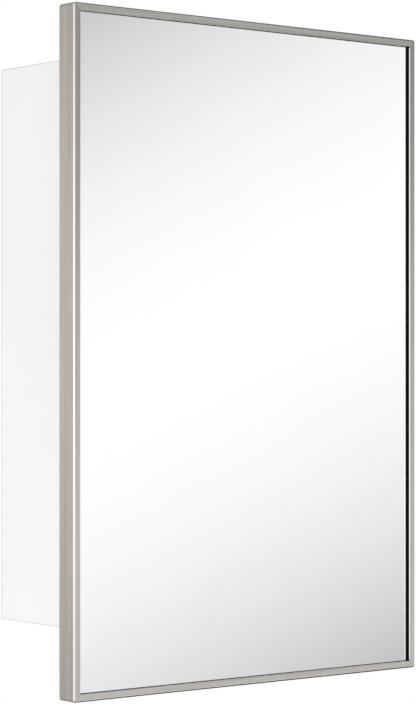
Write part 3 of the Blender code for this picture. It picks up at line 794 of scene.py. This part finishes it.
def makePins():
    model = pinModel()
    walls = {"left": nodeBox("side_panel_left")[1].x, "right": nodeBox("side_panel_right")[0].x}
    points = []
    turns = []
    nodes = []
    for number in range(1, shelfSet["count"] + 1):
        for side, wall in walls.items():
            for column in ("front", "rear"):
                node = f"shelf_pin_{number}_{side}_{column}"
                middle = nodeMiddle(node)
                points.append((wall, middle.y, middle.z))
                turns.append((0, 0, math.pi if side == "left" else 0))
                nodes.append(node)
    piece = repeatPiece("shelfPins", model, points, turns, zinc)
    dropHelper(model)
    settle(piece, "cabinet", "zinc_plate", *nodes)


makeShelves()
makePins()
print("shelves made")


# continuous hinge

hinge = {
    "sheet": 0.9 * mm, "radius": 2.5 * mm, "curl": math.radians(298), "arcSteps": 30, "knuckles": 15,
    "gap": 0.4 * mm, "slotExtra": 0.5 * mm, "countersink": 1.55 * mm, "pinChamfer": 0.3 * mm, "pinSides": 24,
    "crease": 35, "pinCrease": 30,
}


def leafTree():
    # rolled knuckles in a row, joined to a flat plate
    tree, source = startTree("rolledLeaf", {
        "Radius": "Float", "Sheet": "Float", "Curl": "Float", "Start": "Float", "Count": "Int",
        "Spacing": "Float", "Knuckle Length": "Float", "First": "Vector", "Plate": "Object", "Steps": "Int",
        "Material": "Material"})
    arc = addNode(tree, "GeometryNodeCurveArc", {"mode": "RADIUS"}, {
        "Resolution": source["Steps"], "Radius": source["Radius"],
        "Start Angle": source["Start"], "Sweep Angle": source["Curl"]})
    section = addNode(tree, "GeometryNodeCurvePrimitiveQuadrilateral", {"mode": "RECTANGLE"}, {
        "Width": source["Sheet"], "Height": source["Knuckle Length"]})
    roll = addNode(tree, "GeometryNodeCurveToMesh", values={
        "Curve": arc.outputs["Curve"], "Profile Curve": section.outputs["Curve"], "Fill Caps": True})
    step = addNode(tree, "ShaderNodeCombineXYZ", values={"Z": source["Spacing"]})
    line = addNode(tree, "GeometryNodeMeshLine", {"mode": "OFFSET"}, {
        "Count": source["Count"], "Start Location": source["First"], "Offset": step.outputs["Vector"]})
    knuckles = addNode(tree, "GeometryNodeInstanceOnPoints", values={
        "Points": line.outputs["Mesh"], "Instance": roll.outputs["Mesh"]})
    leaf = joinAll(tree, knuckles.outputs["Instances"], shapeOf(tree, source["Plate"]))
    return finishTree(tree, source, leaf)


def leafPlate(name, facing, pivot, side, low, high, pitch, first, screws):
    # flat part of a leaf with its tongues to the knuckles and the holes under the screws
    outer = pivot.y + facing * hinge["radius"]
    inner = outer - facing * hinge["sheet"]
    edge = pivot.x - hinge["radius"] - hinge["slotExtra"]
    nearY = min(outer, inner)
    farY = max(outer, inner)
    bm = bmesh.new()
    addBlock(bm, (side, nearY, low), (edge, farY, high))
    for knuckle in range(first, hinge["knuckles"], 2):
        lowZ = low + knuckle * pitch + hinge["gap"] / 2
        highZ = low + (knuckle + 1) * pitch - hinge["gap"] / 2
        addBlock(bm, (edge, nearY, lowZ), (pivot.x, farY, highZ))
    piece = meshPiece(name, bm, [zinc])
    points = [(point.x, (nearY + farY) / 2, point.z) for point in screws]
    drill(piece, points, (math.pi / 2, 0, 0), hinge["countersink"], 2 * hinge["sheet"], zinc)
    return piece


def makeLeaf(name, node, body, facing, screwPrefix):
    pinLow, pinHigh = nodeBox("hinge_pin")
    pivot = nodeMiddle("hinge_pin")
    pitch = (pinHigh.z - pinLow.z) / hinge["knuckles"]
    first = 0 if facing > 0 else 1
    screws = [nodeMiddle(f"{screwPrefix}_{number}") for number in range(1, 5)]
    plate = leafPlate(
        name + "Plate", facing, pivot, nodeBox(node)[0].x, pinLow.z, pinHigh.z, pitch, first, screws)
    piece = pointCloud(name, [], [])
    growTree(piece, rolledLeaf, {
        "Radius": hinge["radius"] - hinge["sheet"] / 2, "Sheet": hinge["sheet"],
        "Curl": hinge["curl"] * -facing, "Start": math.pi / 2 * facing,
        "Count": len(range(first, hinge["knuckles"], 2)), "Spacing": 2 * pitch,
        "Knuckle Length": pitch - hinge["gap"],
        "First": Vector((pivot.x, pivot.y, pinLow.z + (first + 0.5) * pitch)), "Plate": plate,
        "Steps": hinge["arcSteps"], "Material": zinc})
    dropHelper(plate)
    smoothPiece(piece, hinge["crease"])
    settle(piece, body, "zinc_plate", node)


def makeHingePin():
    low, high = nodeBox("hinge_pin")
    middle = nodeMiddle("hinge_pin")
    radius = (high.y - low.y) / 2
    length = high.z - low.z
    chamfer = hinge["pinChamfer"]
    bm = bmesh.new()
    addTurned(bm, [
        (0, 0), (radius - chamfer, 0), (radius, chamfer), (radius, length - chamfer),
        (radius - chamfer, length), (0, length)], hinge["pinSides"])
    bmesh.ops.translate(bm, vec=(middle.x, middle.y, low.z), verts=bm.verts)
    piece = meshPiece("hingePin", bm, [zinc])
    smoothPiece(piece, hinge["pinCrease"])
    settle(piece, "cabinet", "zinc_plate", "hinge_pin")


rolledLeaf = leafTree()
makeLeaf("hingeLeafCabinet", "hinge_leaf_cabinet", "cabinet", 1, "hinge_screw_cabinet")
makeLeaf("hingeLeafDoor", "hinge_leaf_door", "door", -1, "hinge_screw_door")
makeHingePin()
print("hinge made")


# screws, one model on every seat

screw = {
    "head": 2.6 * mm, "height": 1.2 * mm, "length": 9 * mm, "sides": 32, "headSteps": 9,
    "shank": 1.25 * mm, "root": 0.72, "neck": 0.8, "neckLength": 0.4 * mm, "tip": 0.4 * mm,
    "thread": 1.0 * mm, "rim": 0.97, "rimHeight": 0.12,
    "recess": 0.7 * mm, "recessWide": 2.6 * mm, "slot": 0.55 * mm, "turn": 0.5,
}


def crossCutter(name, wide, deep):
    bm = bmesh.new()
    top = screw["height"]
    addBlock(bm, (-wide, -deep, top - screw["recess"]), (wide, deep, top + mm))
    return meshPiece(name, bm, [])


def screwModel():
    # round head with a cross recess; a ridged shank below it
    head = screw["head"]
    height = screw["height"]
    length = screw["length"]
    shank = screw["shank"]
    thread = screw["thread"]
    profile = [(0, -length), (screw["tip"], -length)]
    for turn in range(int(length / thread) - 1):
        root = -length + (turn + 0.5) * thread
        profile += [(shank * screw["root"], root), (shank, root + thread / 2)]
    neck = shank * screw["neck"]
    profile += [(neck, -screw["neckLength"]), (neck, 0), (head * screw["rim"], 0),
                (head, height * screw["rimHeight"])]
    for step in range(1, screw["headSteps"]):
        angle = math.pi / 2 * step / screw["headSteps"]
        rise = screw["rimHeight"] + (1 - screw["rimHeight"]) * math.sin(angle)
        profile.append((head * math.cos(angle), height * rise))
    profile.append((0, height))
    bm = bmesh.new()
    addTurned(bm, profile, screw["sides"])
    model = meshPiece("screwModel", bm, [])
    wide = screw["recessWide"] / 2
    slot = screw["slot"] / 2
    cutters = (crossCutter("crossOne", wide, slot), crossCutter("crossTwo", slot, wide))
    for cutter in cutters:
        cut = model.modifiers.new("recess", "BOOLEAN")
        cut.operation = "DIFFERENCE"
        cut.object = cutter
    bakePiece(model)
    for cutter in cutters:
        dropHelper(cutter)
    return model


def makeScrews():
    model = screwModel()
    for name, prefix, count, body, facing in (
            ("hingeScrewsCabinet", "hinge_screw_cabinet", 4, "cabinet", (0, -1, 0)),
            ("hingeScrewsDoor", "hinge_screw_door", 4, "door", (0, 1, 0)),
            ("catchScrews", "catch_screw", 2, "cabinet", (1, 0, 0)),
            ("strikeScrews", "strike_screw", 2, "door", (0, 1, 0))):
        facing = Vector(facing)
        points = []
        turns = []
        nodes = [f"{prefix}_{number}" for number in range(1, count + 1)]
        for number, node in enumerate(nodes, 1):
            low, high = nodeBox(node)
            reach = abs((high - low).dot(facing)) / 2 - screw["height"]
            points.append(nodeMiddle(node) + facing * reach)
            spin = Matrix.Rotation(screw["turn"] * number, 3, "Z").to_quaternion()
            turns.append((facing.to_track_quat("Z", "Y") @ spin).to_euler())
        settle(repeatPiece(name, model, points, turns, zinc), body, "zinc_plate", *nodes)
    dropHelper(model)


makeScrews()
print("screws made")


# magnetic catch, strike plate and buffers

catch = {
    "round": 0.8 * mm, "segments": 4, "body": 34 * mm, "wall": 2.2 * mm, "pocket": 10 * mm, "sink": 0.3 * mm,
    "flange": 2.2 * mm, "flangeBack": 2.4 * mm,
}


def joinShape(piece, shape, operation):
    # adds or cuts one shape, which is then dropped
    change = piece.modifiers.new(operation.lower(), "BOOLEAN")
    change.operation = operation
    change.object = shape
    bakePiece(piece)
    dropHelper(shape)


def makeCatch():
    low, high = nodeBox("catch_housing")
    middle = (low.z + high.z) / 2
    half = catch["body"] / 2
    wall = catch["wall"]
    finish = [whitePlastic]
    piece = roundedBlock(
        "catchHousing", (low.x + catch["sink"], low.y, middle - half), (high.x, high.y, middle + half),
        catch["round"], catch["segments"], finish)
    flange = roundedBlock(
        "catchFlange", (low.x, low.y + catch["flangeBack"], low.z), (low.x + catch["flange"], high.y, high.z),
        catch["round"], catch["segments"], finish)
    joinShape(piece, flange, "UNION")
    pocket = bmesh.new()
    addBlock(pocket, (low.x + wall, low.y - mm, middle - half + wall),
             (high.x - wall, low.y + catch["pocket"], middle + half - wall))
    joinShape(piece, meshPiece("catchPocket", pocket, finish), "DIFFERENCE")
    evenPiece(piece)
    settle(piece, "cabinet", "white_plastic", "catch_housing")


magnet = {
    "plate": 1.6 * mm, "setBack": 0.5 * mm, "short": 0.4 * mm, "edge": 0.2 * mm, "segments": 2, "crease": 40,
}


def makeMagnet():
    # two pole plates with the magnet set back between them
    low, high = nodeBox("catch_magnet")
    bm = bmesh.new()
    leftPlate = low.x + magnet["plate"]
    rightPlate = high.x - magnet["plate"]
    addBlock(bm, low, (leftPlate, high.y, high.z))
    addBlock(bm, (rightPlate, low.y, low.z), high)
    addBlock(bm, (leftPlate, low.y + magnet["setBack"], low.z + magnet["short"]),
             (rightPlate, high.y, high.z - magnet["short"]))
    bevelEdges(bm, bm.edges[:], magnet["edge"], magnet["segments"])
    piece = meshPiece("catchMagnet", bm, [magnetSteel])
    smoothPiece(piece, magnet["crease"])
    settle(piece, "cabinet", "magnet_steel", "catch_magnet")


strike = {"edge": 0.35 * mm, "segments": 3}


def makeStrike():
    piece = roundedBlock("strikePlate", *nodeBox("strike_plate"), strike["edge"], strike["segments"], [zinc])
    settle(piece, "door", "zinc_plate", "strike_plate")


buffer = {"sides": 36, "steps": 10, "flat": 0.35, "straight": 0.25}


def makeBuffers():
    nodes = ("door_buffer_top", "door_buffer_bottom")
    low, high = nodeBox(nodes[0])
    radius = (high.x - low.x) / 2
    height = high.y - low.y
    straight = buffer["straight"]
    profile = [(0, 0), (radius, 0), (radius, height * straight)]
    for step in range(1, buffer["steps"] + 1):
        angle = math.pi / 2 * step / buffer["steps"]
        reach = buffer["flat"] + (1 - buffer["flat"]) * math.cos(angle)
        profile.append((radius * reach, height * (straight + (1 - straight) * math.sin(angle))))
    profile.append((0, height))
    bm = bmesh.new()
    addTurned(bm, profile, buffer["sides"])
    model = meshPiece("bufferModel", bm, [])
    points = [(nodeMiddle(node).x, nodeBox(node)[0].y, nodeMiddle(node).z) for node in nodes]
    piece = repeatPiece("doorBuffers", model, points, [(-math.pi / 2, 0, 0)] * len(nodes), silicone)
    dropHelper(model)
    settle(piece, "door", "clear_buffer", *nodes)


makeCatch()
makeMagnet()
makeStrike()
makeBuffers()
print("catch made")


# finishes for the nodes that keep their imported shape

# the gasket's near-black colour also paints in the shade of its recess
keptNodes = {
    "mirror_glass": mirrorFinish, "mirror_gasket": gasketRubberShade, "door_core": coreWhite,
    "mirror_tape_left": tape, "mirror_tape_right": tape,
    "corner_bracket_top_left": zinc, "corner_bracket_top_right": zinc,
    "corner_bracket_bottom_left": zinc, "corner_bracket_bottom_right": zinc,
}
for node, material in keptNodes.items():
    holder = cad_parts[node]
    holder.data.materials.clear()
    holder.data.materials.append(material)
print("kept nodes finished")


# studio: floor, sky and lights

studio = {
    "drop": 1.19, "radius": 3.6, "fade": 2.1, "sides": 96, "glow": 0.12, "rough": 0.8, "cloud": 30,
    "low": (0.90, 0.90, 0.895), "high": (0.93, 0.93, 0.925),
}


def shaderMix(tree, factor, first, second):
    return addNode(tree, "ShaderNodeMixShader", values={"Fac": factor, 1: first, 2: second}).outputs["Shader"]


def floorMaterial():
    made, tree, shader = startMaterial("paleFloor")
    setInputs(tree, shader, {
        "Base Color": ramp(tree, objectNoise(tree, studio["cloud"]), studio["low"], studio["high"]),
        "Roughness": studio["rough"], "Emission Color": (1, 1, 1, 1), "Emission Strength": studio["glow"]})
    flat = addNode(tree, "ShaderNodeMapping", values={"Vector": objectPlace(tree), "Scale": (1, 1, 0)})
    distance = addNode(tree, "ShaderNodeVectorMath", {"operation": "LENGTH"}, {0: flat.outputs["Vector"]})
    inner = studio["radius"] - studio["fade"]
    fade = remap(tree, distance.outputs["Value"], 0.0, 1.0, inner, studio["radius"])
    bright = addNode(tree, "ShaderNodeEmission", values={"Color": (1, 1, 1, 1), "Strength": 1.0})
    shown = shaderMix(tree, fade, shader.outputs["BSDF"], bright.outputs["Emission"])
    # clear when seen from below, so that it never hides the cabinet
    under = mathNode(tree, "MULTIPLY", addNode(tree, "ShaderNodeNewGeometry").outputs["Backfacing"],
                     addNode(tree, "ShaderNodeLightPath").outputs["Is Camera Ray"])
    clear = addNode(tree, "ShaderNodeBsdfTransparent").outputs["BSDF"]
    tree.links.new(shaderMix(tree, under, shown, clear), tree.nodes["Material Output"].inputs["Surface"])
    return made


def makeFloor():
    bm = bmesh.new()
    bmesh.ops.create_circle(bm, cap_ends=True, segments=studio["sides"], radius=studio["radius"])
    bmesh.ops.translate(bm, vec=(0, 0, doorLow.z - studio["drop"]), verts=bm.verts)
    floor = meshPiece("paleFloor", bm, [floorMaterial()])
    floor.visible_glossy = False


# what matt surfaces see, then what shiny surfaces see, by height
softSky = {
    "level": 0.715, "above": 0.63, "rise": (0.0, 0.8), "below": 0.765, "sink": (0.0, -0.5),
    "lobeAim": (-0.80, -0.58, 0.10), "lobe": 0.29,
}
shinySky = {
    "level": 0.86, "above": 0.62, "rise": (0.05, 0.4), "zenith": 0.58, "toZenith": (0.4, 0.9),
    "below": 0.72, "sink": (-0.05, -0.4), "nadir": 0.45, "toNadir": (-0.4, -0.9),
}
# dark flags for the frame's edges to reflect: above, below and beside the right edge
flags = (
    {"aim": (0.6247, 0.0, 0.7809), "far": 0.76, "near": 0.95, "level": 0.10},
    {"aim": (0.6247, 0.0, -0.7809), "far": 0.66, "near": 0.86, "level": 0.03},
    {"aim": (0.9, 0.43, 0.0), "far": 0.70, "near": 0.93, "level": 0.12},
)
# dark above and light below, round the directions that the front faces reflect
frontWash = {
    "aim": (0.6247, -0.7809, 0.0), "far": 0.55, "near": 0.85,
    "top": 0.16, "base": 1.255, "rise": (-0.05, 0.11),
}
# slanted bands: level falls away from the middle line, inside a window
bandWindow = {"least": 0.2, "ahead": (0.5, 0.7)}
bands = (
    {"aim": (-0.74, -0.67, 0.0), "tilt": 0.05, "shift": 0.0, "peak": 1.32, "fall": 17.0,
     "wide": (1.15, 0.70), "tall": (0.26, 0.17), "low": 0.62, "above": 0.60, "below": 0.75},
    {"aim": (0.0, -1.0, 0.0), "tilt": 0.54, "shift": 0.02, "peak": 1.0, "fall": 12.0,
     "wide": (0.34, 0.17), "tall": (0.26, 0.17), "low": 0.60, "above": 0.55, "below": 0.80},
    {"aim": (-0.6247, 0.7809, 0.0), "tilt": 0.0, "shift": 0.02, "peak": 1.05, "fall": 11.0,
     "wide": (0.9, 0.5), "tall": (0.24, 0.18), "low": 0.60, "above": 0.60, "below": 0.60},
    {"aim": (0.6247, -0.7809, 0.0), "tilt": 0.54, "shift": 0.011, "peak": 1.03, "fall": 15.8,
     "wide": (0.13, 0.085), "tall": (0.24, 0.17), "low": 0.57, "above": 1.05, "below": 1.28},
)
warmStrip = {"aim": (-0.6247, 0.7809, 0.0), "far": 0.75, "near": 0.97, "colour": (1.0, 0.955, 0.925)}


def aimedAt(tree, ray, patch):
    # 1 in the middle of a soft round patch of sky
    return smoothStep(tree, dotNode(tree, ray, patch["aim"]), patch["far"], patch["near"])


def softLevel(tree, ray, height):
    level = mathMix(tree, smoothStep(tree, height, *softSky["rise"]), softSky["level"], softSky["above"])
    level = mathMix(tree, smoothStep(tree, height, *softSky["sink"]), level, softSky["below"])
    lobe = smoothStep(tree, dotNode(tree, ray, softSky["lobeAim"]), 0.0, 1.0)
    return mathNode(tree, "ADD", level, mathNode(tree, "MULTIPLY", lobe, softSky["lobe"]))


def bandMix(tree, ray, height, level, band):
    # a slanted soft band over what is there, with plain levels above and below its window
    aim = Vector(band["aim"])
    ahead = dotNode(tree, ray, aim)
    forward = mathNode(tree, "MAXIMUM", ahead, bandWindow["least"])
    across = mathNode(tree, "DIVIDE", dotNode(tree, ray, (-aim.y, aim.x, 0)), forward)
    upward = mathNode(tree, "DIVIDE", height, forward)
    slant = mathNode(tree, "SUBTRACT", mathNode(tree, "MULTIPLY", across, band["tilt"]), upward)
    offset = mathNode(tree, "ADD", slant, band["shift"])
    fall = mathNode(tree, "MULTIPLY", mathNode(tree, "MULTIPLY", offset, offset), band["fall"])
    inside = mathNode(tree, "MAXIMUM", mathNode(tree, "SUBTRACT", band["peak"], fall), band["low"])
    far, near = band["tall"]
    inside = mathMix(tree, smoothStep(tree, upward, near, far), inside, band["above"])
    inside = mathMix(tree, smoothStep(tree, upward, -near, -far), inside, band["below"])
    window = smoothStep(tree, mathNode(tree, "ABSOLUTE", across), *band["wide"])
    window = mathNode(tree, "MULTIPLY", window, smoothStep(tree, ahead, *bandWindow["ahead"]))
    return mathMix(tree, window, level, inside)


def shinyLevel(tree, ray, height):
    level = shinySky["level"]
    for reach, end in (("rise", "above"), ("toZenith", "zenith"), ("sink", "below"), ("toNadir", "nadir")):
        level = mathMix(tree, smoothStep(tree, height, *shinySky[reach]), level, shinySky[end])
    wash = mathMix(tree, smoothStep(tree, height, *frontWash["rise"]), frontWash["base"], frontWash["top"])
    level = mathMix(tree, aimedAt(tree, ray, frontWash), level, wash)
    for flag in flags:
        level = mathMix(tree, aimedAt(tree, ray, flag), level, flag["level"])
    for band in bands:
        level = bandMix(tree, ray, height, level, band)
    return level


def makeSky():
    # white to the camera, so that the cabinet stands on plain white
    world = bpy.data.worlds.new("studioSky")
    world.use_nodes = True
    bpy.context.scene.world = world
    tree = world.node_tree
    ray = addNode(tree, "ShaderNodeTexCoord").outputs["Generated"]
    height = dotNode(tree, ray, (0, 0, 1))
    path = addNode(tree, "ShaderNodeLightPath").outputs
    shown = mathMix(
        tree, path["Is Glossy Ray"], softLevel(tree, ray, height), shinyLevel(tree, ray, height))
    warm = mathNode(tree, "MULTIPLY", aimedAt(tree, ray, warmStrip), path["Is Glossy Ray"])
    setInputs(tree, tree.nodes["Background"], {
        "Strength": mathMix(tree, path["Is Camera Ray"], shown, 1.0),
        "Color": colourMix(tree, warm, (1, 1, 1, 1), warmStrip["colour"])})


lowFill = {"place": (-1.5, -0.5, -0.95), "size": 0.9, "power": 6.4}


def makeLowFill():
    # a softbox low at the left, which shiny surfaces don't see
    data = bpy.data.lights.new("lowFill", "AREA")
    data.size = lowFill["size"]
    data.energy = lowFill["power"]
    light = bpy.data.objects.new("lowFill", data)
    light.location = lowFill["place"]
    light.rotation_euler = (-Vector(lowFill["place"])).to_track_quat("-Z", "Y").to_euler()
    light.visible_glossy = False
    light.visible_camera = False
    bpy.context.scene.collection.objects.link(light)


makeFloor()
makeSky()
makeLowFill()
bpy.context.scene.view_settings.view_transform = "Standard"
print("studio made")


# camera

view = {"lens": 124.05, "bearing": 51.58, "place": (-1.4213, -1.8709, -0.0200), "shift": 0.0200}


def makeCamera():
    data = bpy.data.cameras.new("studioCamera")
    data.lens = view["lens"]
    data.shift_y = view["shift"]
    camera = bpy.data.objects.new("studioCamera", data)
    camera.location = view["place"]
    camera.rotation_euler = (math.pi / 2, 0, math.radians(view["bearing"]) - math.pi / 2)
    bpy.context.scene.collection.objects.link(camera)
    bpy.context.scene.camera = camera


makeCamera()
print("camera placed")
